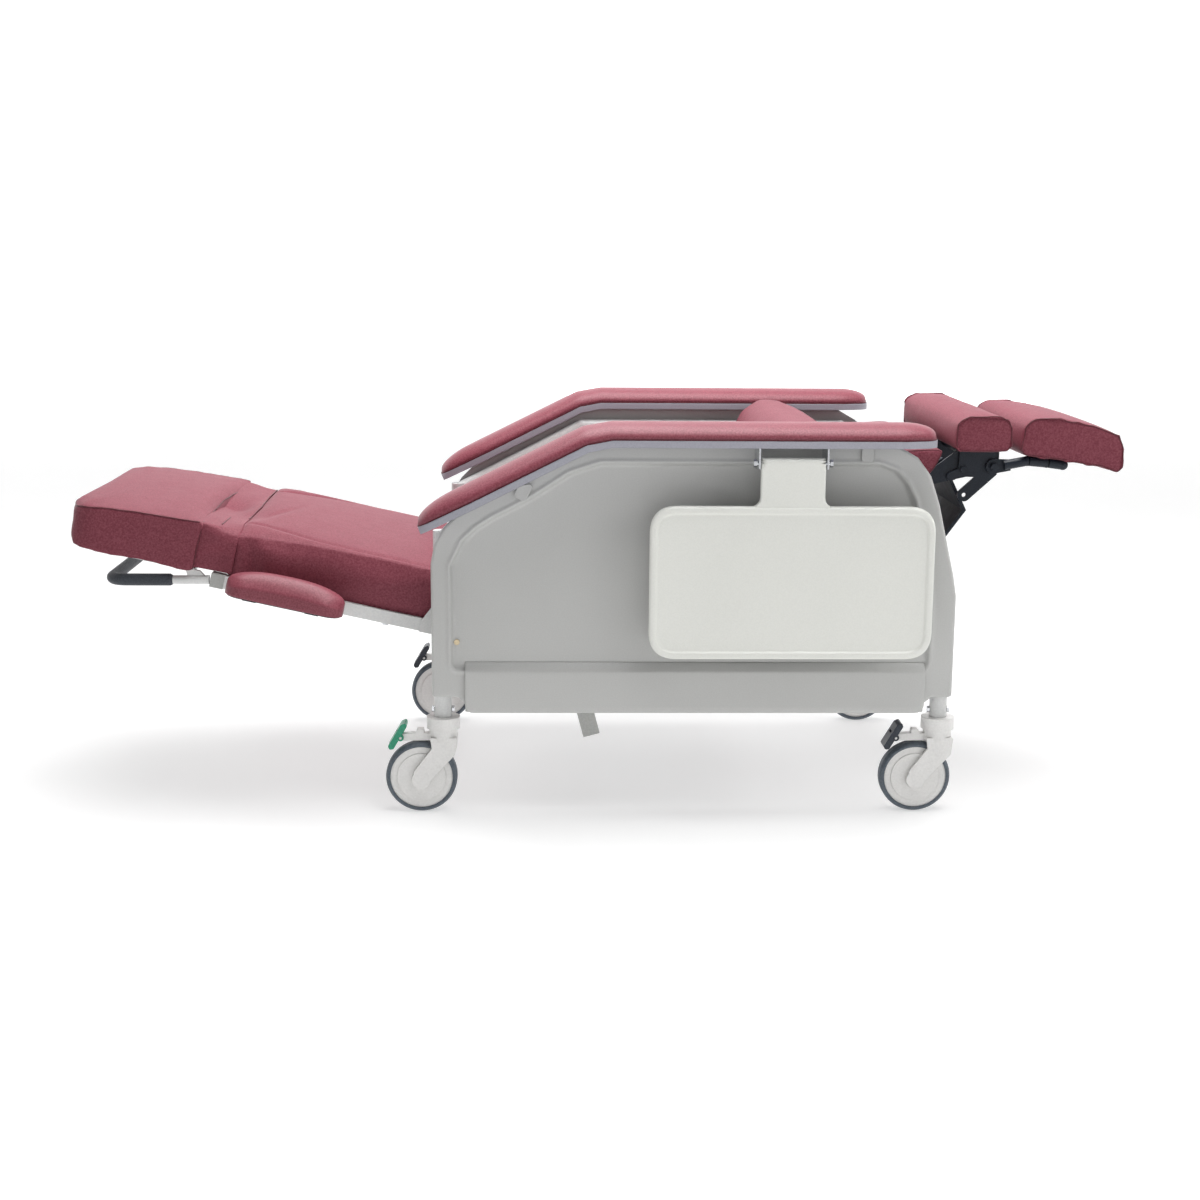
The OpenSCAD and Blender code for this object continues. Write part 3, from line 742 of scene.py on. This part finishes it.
foot = cushion(
    "foot_pad", "foot_cushion", "footrest", voxel=0.006, inset=inset, cap=0.010,
    seams=[(foot_seam, False), (foot_hem, False)], rest=lambda co: leg_sn(co)[1] < -0.030,
    groove=0.0018, groove_w=0.004, after=foot_shape, axes=leg_axes, lift=0.0006,
)

# ---------------------------------------------------------------- fold strip

def strip_start(y):
    """Where the strip's sewn edge crosses the calf cushion, measured along the legrest."""
    return np.interp(y, [-0.285, -0.20, -0.108, 0.011, 0.11, 0.264, 0.285],
                     [calf_end - 0.018, calf_end - 0.012, calf_end - 0.009, calf_end - 0.013,
                      calf_end - 0.009, calf_end - 0.007, calf_end - 0.007])


def girth(skin, s, turn):
    """How far a cushion's skin lies from the legrest's middle line, in the direction turn."""
    out = np.array([0.0, math.cos(turn), 0.0]) + math.sin(turn) * leg_up
    middle = leg(s, 0.0, 0.0)
    hit = skin.ray_cast(Vector(middle + 0.6 * out), Vector(-out))[0]
    return float(np.linalg.norm(np.array(hit) - middle))


calf_skin, foot_skin = skin_of(calf), skin_of(foot)
shoulder, shoulder_n = 0.012, 0.036
under_foot = 0.012
over_y = np.linspace(-leg_half + shoulder, leg_half - shoulder, 96)
down_n = np.linspace(-0.038, shoulder_n, 22)
turn_n = np.linspace(0.0, np.pi / 2, 12)[1:-1]
nominal = [(-leg_half, n) for n in down_n]
nominal += [
    (-leg_half + shoulder - shoulder * math.cos(a), shoulder_n + shoulder * math.sin(a)) for a in turn_n
]
nominal += [(y, shoulder_n + shoulder) for y in over_y]
nominal += [(-y, n) for y, n in nominal[: len(down_n) + len(turn_n)][::-1]]
ends = []
for y, n in nominal:
    turn = math.atan2(n, y)
    s = float(strip_start(y))
    near, far = girth(calf_skin, s - 0.002, turn), girth(foot_skin, foot_start + 0.014, turn)
    ends.append((turn, s, near, far, y, n))
strip = []
steps, thickness = 22, 0.003
for layer, order in ((0.0, 1), (-thickness, -1)):
    for k in range(steps + 1)[::order]:
        t = k / steps
        ease = min(t / 0.8, 1.0)
        ease = ease * ease * (3 - 2 * ease)
        row = []
        for turn, start, near, far, y, n in ends:
            reach = (near + 0.0007) * (1 - ease) + (far - 0.0090) * ease
            flat = max(0.0, math.sin(turn)) / max(abs(math.sin(turn)), abs(math.cos(turn)) * 0.17)
            mid = math.sin(math.pi * t)
            dip = 0.0005 + 0.0040 * math.exp(-(((y + 0.02) / 0.10) ** 2)) + 0.0010 * math.sin(24 * y + 3 * t)
            up = reach * math.sin(turn) + flat * (layer - dip * mid)
            pucker = 0.0014 * math.sin(115 * n + 5 * t) * mid + 0.0006 * mid
            out = reach * math.cos(turn) + math.copysign((1 - flat) * (layer - pucker), math.cos(turn))
            row.append((start + t * (foot_start + under_foot - start), out, up))
        row = np.array(row)
        strip.append(leg(row[:, 0], row[:, 1], row[:, 2]))
cover = loft("fold_strip", list(np.stack(strip, 1)), VINYL, None, "upholstery")
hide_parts("fold_gusset")
strip_skin = skin_of(cover)


def on_strip(s, y):
    """A point on the strip's upper face."""
    return np.array(strip_skin.find_nearest(Vector(leg(s, y, calf_top)))[0])


# Dark lines along the strip's seams: a welt in the darker colour, partly painted shade of the seam gap.
seam_lines = (
    ("fold_strip_seam_far", np.linspace(-0.108, leg_half - 0.016, 60), lambda y: strip_start(y) + 0.0015),
    ("fold_strip_seam_near", np.linspace(-0.246, -0.15, 26), lambda y: calf_end + 0.018 + 0 * y),
)
for name, ys, where in seam_lines:
    path = [on_strip(float(where(y)), float(y)) for y in ys]
    line = tube(name, path, welt_r, WELT_AND_SEAM_SHADE, None, "upholstery", sides=8)
    tuple(leg(calf_end, 0, 0))
    tuple(leg(foot_start, 0, 0))
    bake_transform(line)
tuple(leg(calf_end, 0, 0))
tuple(leg(foot_start, 0, 0))
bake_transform(cover)

# ---------------------------------------------------------------- armrests

arm_tree = skin_of(nodes["arm_pad_left"])
arm_low, arm_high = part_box("arm_pad_left")
mid_y = (arm_low.y + arm_high.y) / 2
stations = np.concatenate([
    arm_low.x + 0.05 * (1 - np.cos(np.linspace(0.12, np.pi / 2, 14))),
    np.linspace(arm_low.x + 0.056, arm_high.x - 0.056, 96),
    arm_high.x - 0.05 * (1 - np.cos(np.linspace(np.pi / 2, 0.12, 14))),
])


def cast(origin, direction):
    hit = arm_tree.ray_cast(Vector(origin), Vector(direction))[0]
    return None if hit is None else hit


rings = []
base_line = ([], [])
points = 40
for x in stations:
    up = cast((x, mid_y, 0.0), (0, 0, 1))
    down = cast((x, mid_y, 2.0), (0, 0, -1))
    if up is None or down is None or down.z - up.z < 0.002:
        continue
    zb, zt = up.z, down.z
    left = cast((x, -2.0, (zb + zt) / 2), (0, 1, 0))
    right = cast((x, 0.0, (zb + zt) / 2), (0, -1, 0))
    w = (right.y - left.y) / 2
    yc = (right.y + left.y) / 2
    gap = min(x - arm_low.x, arm_high.x - x)
    rise = math.sqrt(max(0.0, 1 - (1 - min(gap / 0.055, 1.0)) ** 2))
    h = (zt - zb) * (0.34 + 0.66 * rise)
    ring = []
    for k in range(points):
        a = 2 * math.pi * k / points
        c, s = math.cos(a), math.sin(a)
        if s >= 0:
            y = math.copysign(abs(c) ** 1.05, c) * w
            z = zb + h * (0.12 + 0.88 * s)
        else:
            y = math.copysign(abs(c) ** 0.35, c) * (w - 0.0025 * (-s) ** 0.5)
            z = zb + h * 0.12 * (1 - (-s) ** 0.5) + 0.0003
        ring.append((x, yc + y, z))
    rings.append(np.array(ring))
    for line, sign in zip(base_line, (-1, 1)):
        line.append((x, yc + sign * (w - 0.0012), zb + 0.0012))
# Piping round the arm pad's base in the darker welt colour, partly painted shade where the pad meets the
# trim.
piping = tube("arm_pad_piping_left", base_line[0] + base_line[1][::-1], 0.0015, WELT_AND_SEAM_SHADE, "frame", "upholstery",
              closed=True, sides=8)
mirrored(piping, "arm_pad_piping_right", "frame")
# The arm covers take the rose vinyl painted lighter: painted light.
arm = loft("arm_pad_cover_left", rings, LIT_VINYL, "frame", "upholstery")
other = mirrored(arm, "arm_pad_cover_right", "frame")
for ob, source in ((arm, "arm_pad_left"), (other, "arm_pad_right")):
    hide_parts(source)

# ---------------------------------------------------------------- side pads on the legrest

pad_s, pad_n = leg_sn(get(nodes["side_pad_left"]))
pad_y0, pad_y1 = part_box("side_pad_left")[0].y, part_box("side_pad_left")[1].y
s0, s1, n0, n1 = float(pad_s.min()), float(pad_s.max()), float(pad_n.min()) - 0.0045, float(pad_n.max())
section = [(0.0, 0.0), (0.93, 0.0), (0.985, 0.04), (1.0, 0.12), (1.0, 0.40), (0.995, 0.45), (0.965, 0.50),
           (0.90, 0.57), (0.80, 0.67), (0.64, 0.80), (0.44, 0.91), (0.22, 0.98), (0.0, 1.0)]
section = np.array(section + [(-a, b) for a, b in section[-2:0:-1]])
rings = []
pad_mid, pad_half = (pad_y0 + pad_y1) / 2, (pad_y1 - pad_y0) / 2
for u in np.sin(np.linspace(-np.pi / 2 + 0.10, np.pi / 2 - 0.10, 60)):
    s = (s0 + s1) / 2 + u * (s1 - s0) / 2
    gap = (1 - abs(u)) * (s1 - s0) / 2
    w = pad_half * math.sqrt(max(0.0, 1 - (1 - min(gap / 0.034, 1.0)) ** 2))
    dome = (n1 - n0) * (0.56 + 0.44 * (1 - abs(u) ** 2.6) ** 0.8)
    dome *= 0.80 + 0.20 * math.sqrt(max(0.0, 1 - (1 - min(gap / 0.012, 1.0)) ** 2))
    rings.append(leg(np.full(len(section), s), pad_mid + w * section[:, 0], n0 + dome * section[:, 1]))
# The side pad covers take the rose vinyl painted lighter: painted light.
pad = loft("side_pad_cover_left", rings, LIT_VINYL, "legrest", "upholstery")
other = mirrored(pad, "side_pad_cover_right", "legrest")
for ob, source in ((pad, "side_pad_left"), (other, "side_pad_right")):
    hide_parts(source)

# ---------------------------------------------------------------- moulded side panels


def outline(tree, level, centre, count, inside):
    """Where rays fanned round a centre, in the plane at that depth, meet the solid's wall."""
    rim = []
    for a in np.linspace(0, 2 * np.pi, count, endpoint=False):
        ray = Vector((math.cos(a), 0, math.sin(a)))
        start = Vector((centre[0], level, centre[1]))
        hit = tree.ray_cast(start, ray)[0] if inside else tree.ray_cast(start + 2 * ray, -ray)[0]
        rim.append((hit.x, hit.z))
    return np.array(rim)


def drawn_in(loop, centre, part):
    """A closed 2-D loop shrunk towards a centre."""
    return centre + part * (loop - centre)


def depth_rings(rings):
    """3-D rings from (2-D loop, depth) pairs."""
    return [np.column_stack([loop[:, 0], np.broadcast_to(y, len(loop)), loop[:, 1]]) for loop, y in rings]


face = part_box("side_panel_left")[0].y
border, field, inner = face + 0.007, face + 0.014, face + 0.018
lip_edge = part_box("side_panel_left")[1].y
panel_tree = skin_of(nodes["side_panel_left"])
centre = np.array([0.15, 0.42])
sill_z, straight_z = 0.264, 0.34
lip_front, lip_rear, lip_foot = -0.309, 0.534, 0.222
rim = outline(panel_tree, inner - 0.002, centre, 1200, False)
recess = outline(panel_tree, field - 0.0035, centre, 1200, True)
walls = recess[(recess[:, 1] > 0.285) & (recess[:, 1] < 0.31), 0]
sill = rounded([(walls.min(), straight_z), (walls.min(), sill_z), (walls.max(), sill_z),
                (walls.max(), straight_z)], [0.0, 0.016, 0.016, 0.0])
sill = spaced(sill, 1600)
sill = sill[sill[:, 1] < straight_z - 0.002]
turn = np.arctan2(sill[:, 1] - centre[1], sill[:, 0] - centre[0])
order = np.argsort(turn)
aim = np.arctan2(recess[:, 1] - centre[1], recess[:, 0] - centre[0])
reach = np.interp(aim, turn[order], np.linalg.norm(sill - centre, axis=1)[order])
below = centre + reach[:, None] * np.column_stack([np.cos(aim), np.sin(aim)])
recess = np.where((recess[:, 1] < 0.30)[:, None], below, recess)
lipped = ((rim[:, 0] < lip_front) | (rim[:, 0] > lip_rear)) & (rim[:, 1] > lip_foot)
lip = np.where(lipped, lip_edge, inner)
bend = 0.006
shell = [
    (drawn_in(rim, centre, 0.02), inner), (drawn_in(rim, centre, 0.9), inner),
    (spread_loop(rim, -0.0034), inner), (spread_loop(rim, -0.0028), inner),
    (spread_loop(rim, -0.0028), lip), (spread_loop(rim, -0.0020), lip - 0.0006 * lipped),
    (spread_loop(rim, -0.0006), lip - 0.0006 * lipped), (rim, lip - 0.0012 * lipped),
]
shell += [(rim, inner - 0.0035)]
shell += [
    (spread_loop(rim, -bend * (1 - math.cos(a))), border + bend * (1 - math.sin(a)))
    for a in np.linspace(0.1, np.pi / 2, 8)
]
shell += [(spread_loop(recess, d), border + rise) for d, rise in (
    (0.0130, 0.0), (0.0085, -0.0003), (0.0070, -0.0014), (0.0052, -0.0023), (0.0038, -0.0025),
    (0.0018, -0.0020), (0.0, -0.0002), (-0.0014, 0.0028), (-0.0030, 0.0051), (-0.0050, 0.0065),
    (-0.0078, 0.0070), (-0.0100, 0.0070),
)]
shell += [(drawn_in(recess, centre, 0.6), field), (drawn_in(recess, centre, 0.02), field)]
panel = loft("side_panel_shell_left", depth_rings(shell), PANEL)

skirt = []
x0, x1 = -0.254, 0.558
for x, lift, back in (
    (x0, 0.012, 0.0016), (x0 + 0.0008, 0.0098, 0.0006), (x0 + 0.003, 0.0060, 0.0), (x0 + 0.006, 0.0028, 0.0),
    (x0 + 0.010, 0.0008, 0.0), (x0 + 0.016, 0.0, 0.0), (x1 - 0.016, 0.0, 0.0), (x1 - 0.010, 0.0008, 0.0),
    (x1 - 0.006, 0.0028, 0.0), (x1 - 0.003, 0.0060, 0.0), (x1 - 0.0008, 0.0098, 0.0006), (x1, 0.012, 0.0016),
):
    bottom = 0.186 + lift
    skirt.append([(x, y, z) for y, z in (
        (inner - 0.0005, bottom), (face + 0.0045 + back, bottom), (face + 0.0026 + back, bottom + 0.0012),
        (face + 0.0012 + back, bottom + 0.0060), (face + 0.0003 + back, bottom + 0.0105),
        (face + back, bottom + 0.0135), (face + back, 0.2585), (face + 0.0004 + back, 0.2610),
        (face + 0.0018 + back, 0.2636), (field - 0.0014, 0.2750), (field + 0.0002, 0.2768),
        (inner - 0.0005, 0.2768),
    )])
skirt = loft("side_panel_skirt", [np.array(r) for r in skirt], PANEL)


def join(first, *others):
    """Makes the other meshes part of the first."""
    with bpy.context.temp_override(
        active_object=first, object=first, selected_objects=[first, *others],
        selected_editable_objects=[first, *others],
    ):
        bpy.ops.object.join()
    return first


panel = join(panel, skirt)
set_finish(panel, "panel_plastic")
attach(panel, "frame")
other = mirrored(panel, "side_panel_shell_right", "frame")
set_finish(other, "panel_plastic")
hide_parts("side_panel_left")
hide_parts("side_panel_right")

# ---------------------------------------------------------------- tray

low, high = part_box("tray")
front, back = low.y, low.y + 0.018
top = low.z + 0.266
plate = rounded([(low.x, low.z), (high.x, low.z), (high.x, top), (low.x, top)], 0.048)
plate = spaced(plate, 480)
centre = np.array([(low.x + high.x) / 2, (low.z + top) / 2])
shell = [(drawn_in(plate, centre, 0.02), back), (drawn_in(plate, centre, 0.8), back)]
shell += [(spread_loop(plate, -d), front + y) for d, y in (
    (0.0080, 0.0180), (0.0030, 0.0172), (0.0006, 0.0150), (0.0, 0.0115), (0.0, 0.0065), (0.0008, 0.0030),
    (0.0026, 0.0008), (0.0050, 0.0), (0.0095, 0.0), (0.0115, 0.0007), (0.0130, 0.0024), (0.0142, 0.0041),
    (0.0158, 0.0045),
)]
shell += [(drawn_in(plate, centre, 0.6), front + 0.0045), (drawn_in(plate, centre, 0.02), front + 0.0045)]
board = loft("tray_board", depth_rings(shell), TRAY)
pin_z = high.z - 0.010
neck = []
neck_mid = centre[0] - 0.002
levels = [(top - 0.013, 0.0650), (top, 0.0650), (top + 0.0015, 0.0622), (top + 0.0045, 0.0588),
          (top + 0.0090, 0.0560), (top + 0.0160, 0.0550)]
levels += [(z, 0.0550) for z in np.linspace(top + 0.020, pin_z - 0.012, 8)]
levels = [(z, w, front + 0.002, back) for z, w in levels]
for a in np.linspace(0.0, 0.92, 10) * math.pi / 2:
    levels.append((pin_z + 0.0099 * math.sin(a), 0.055 - 0.0012 * (1 - math.cos(a)),
                   front + 0.012 - 0.010 * math.cos(a), front + 0.012 + 0.006 * math.cos(a)))
for z, w, y0, y1 in levels:
    section = rounded([(-w, y0), (w, y0), (w, y1), (-w, y1)], min(0.0022, 0.3 * (y1 - y0)), 0.0008)
    section = spaced(section, 96, (-w, (y0 + y1) / 2))
    neck.append(np.column_stack([neck_mid + section[:, 0], section[:, 1], np.full(len(section), z)]))
neck = loft("tray_neck", neck, TRAY)
board = join(board, neck)
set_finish(board, "tray_plastic")
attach(board, "tray")
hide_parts("tray")

# ---------------------------------------------------------------- foam grip on the foot bar

grip_low, grip_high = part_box("foot_grip")
grip_r = (grip_high.z - grip_low.z) / 2
grip_z = (grip_high.z + grip_low.z) / 2
corner = 0.030
x_out, y_out = grip_low.x + grip_r, grip_high.y - grip_r
path = [(x, -y_out, grip_z) for x in np.linspace(grip_high.x, x_out + corner, 24)]
for a in np.linspace(0, np.pi / 2, 12)[1:]:
    path.append((x_out + corner - corner * math.sin(a), -y_out + corner - corner * math.cos(a), grip_z))
path += [(x_out, y, grip_z) for y in np.linspace(-y_out + corner, 0, 24)[1:]]
path += [(x, -y, z) for x, y, z in path[-2::-1]]
grip = tube("foam_grip_sleeve", path, grip_r, FOAM, "footrest", "foam_grip", sides=28, ends=0.006)
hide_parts("foot_grip")

# ---------------------------------------------------------------- floor, light and camera

white = surface("studio_floor", (0.46, 0.46, 0.46), (0.48, 0.48, 0.48), spot=3.0, rough=(0.6, 0.7),
                grain=80, bump=0.02, cloudy=0.005, specular=0.2)
white.node_tree.nodes["Principled BSDF"].inputs["Emission Color"].default_value = (1, 1, 1, 1)
white.node_tree.nodes["Principled BSDF"].inputs["Emission Strength"].default_value = 0.62
reach = 9.0
corners = [(-reach, -reach, 0), (reach, -reach, 0), (reach, reach, 0), (-reach, reach, 0)]
floor = add("studio_floor_sheet", corners, [(0, 1, 2, 3)], white)


def backdrop(name, start, end, height, strength):
    """A pale curved wall that glows evenly, from one bearing round to another."""
    facets, radius = 48, 8.5
    mat = surface(name + "_white", (0.9, 0.9, 0.9), (0.9, 0.9, 0.9), spot=3.0, grain=80, bump=0.0, cloudy=0.0)
    shader = mat.node_tree.nodes["Principled BSDF"]
    shader.inputs["Emission Color"].default_value = (1, 1, 1, 1)
    shader.inputs["Emission Strength"].default_value = strength
    turn = np.radians(np.linspace(start, end, facets))
    foot = np.column_stack([radius * np.cos(turn), radius * np.sin(turn), np.zeros(facets)])
    return add(name, np.vstack([foot, foot + (0, 0, height)]), grid_faces(2, facets, False), mat)


backdrop("studio_wall_behind", 20, 160, 7.0, 1.3)
backdrop("studio_wall_round", 160, 380, 3.5, 0.12)


def light(name, place, target, size, power):
    """A soft rectangular lamp aimed at a point."""
    lamp = bpy.data.lights.new(name, "AREA")
    lamp.shape = "RECTANGLE"
    lamp.size, lamp.size_y = size
    lamp.energy = power
    ob = bpy.data.objects.new(name, lamp)
    scene.collection.objects.link(ob)
    ob.location = place
    ob.rotation_euler = (Vector(target) - Vector(place)).to_track_quat("-Z", "Y").to_euler()


light("overhead", (0.2, 0.1, 3.0), (0.1, 0, 0.3), (3.4, 2.2), 211)
light("side_fill", (2.9, -2.6, 1.5), (0.7, -0.3, 0.6), (1.2, 1.2), 14)
world = bpy.data.worlds.new("studio")
scene.world = world
world.use_nodes = True
world.node_tree.nodes["Background"].inputs["Color"].default_value = (1, 1, 1, 1)
world.node_tree.nodes["Background"].inputs["Strength"].default_value = 0.05
scene.view_settings.view_transform = "Standard"
scene.view_settings.exposure = -0.25

camera_at = (-0.1082, -3.5139, 1.0115)
yaw, pitch, roll = (math.radians(a) for a in (-1.6386, 11.1107, 0.4315))
ahead = Vector((-math.sin(yaw) * math.cos(pitch), math.cos(yaw) * math.cos(pitch), -math.sin(pitch)))
right = Vector((math.cos(yaw), math.sin(yaw), 0))
above = right.cross(ahead)
right, above = (
    math.cos(roll) * right + math.sin(roll) * above,
    math.cos(roll) * above - math.sin(roll) * right,
)
lens = bpy.data.cameras.new("camera")
lens.lens, lens.sensor_width = 55.5, 36.0
camera = bpy.data.objects.new("camera", lens)
scene.collection.objects.link(camera)
turn = Matrix((right, above, -ahead)).transposed().to_4x4()
camera.matrix_world = Matrix.Translation(camera_at) @ turn
scene.camera = camera
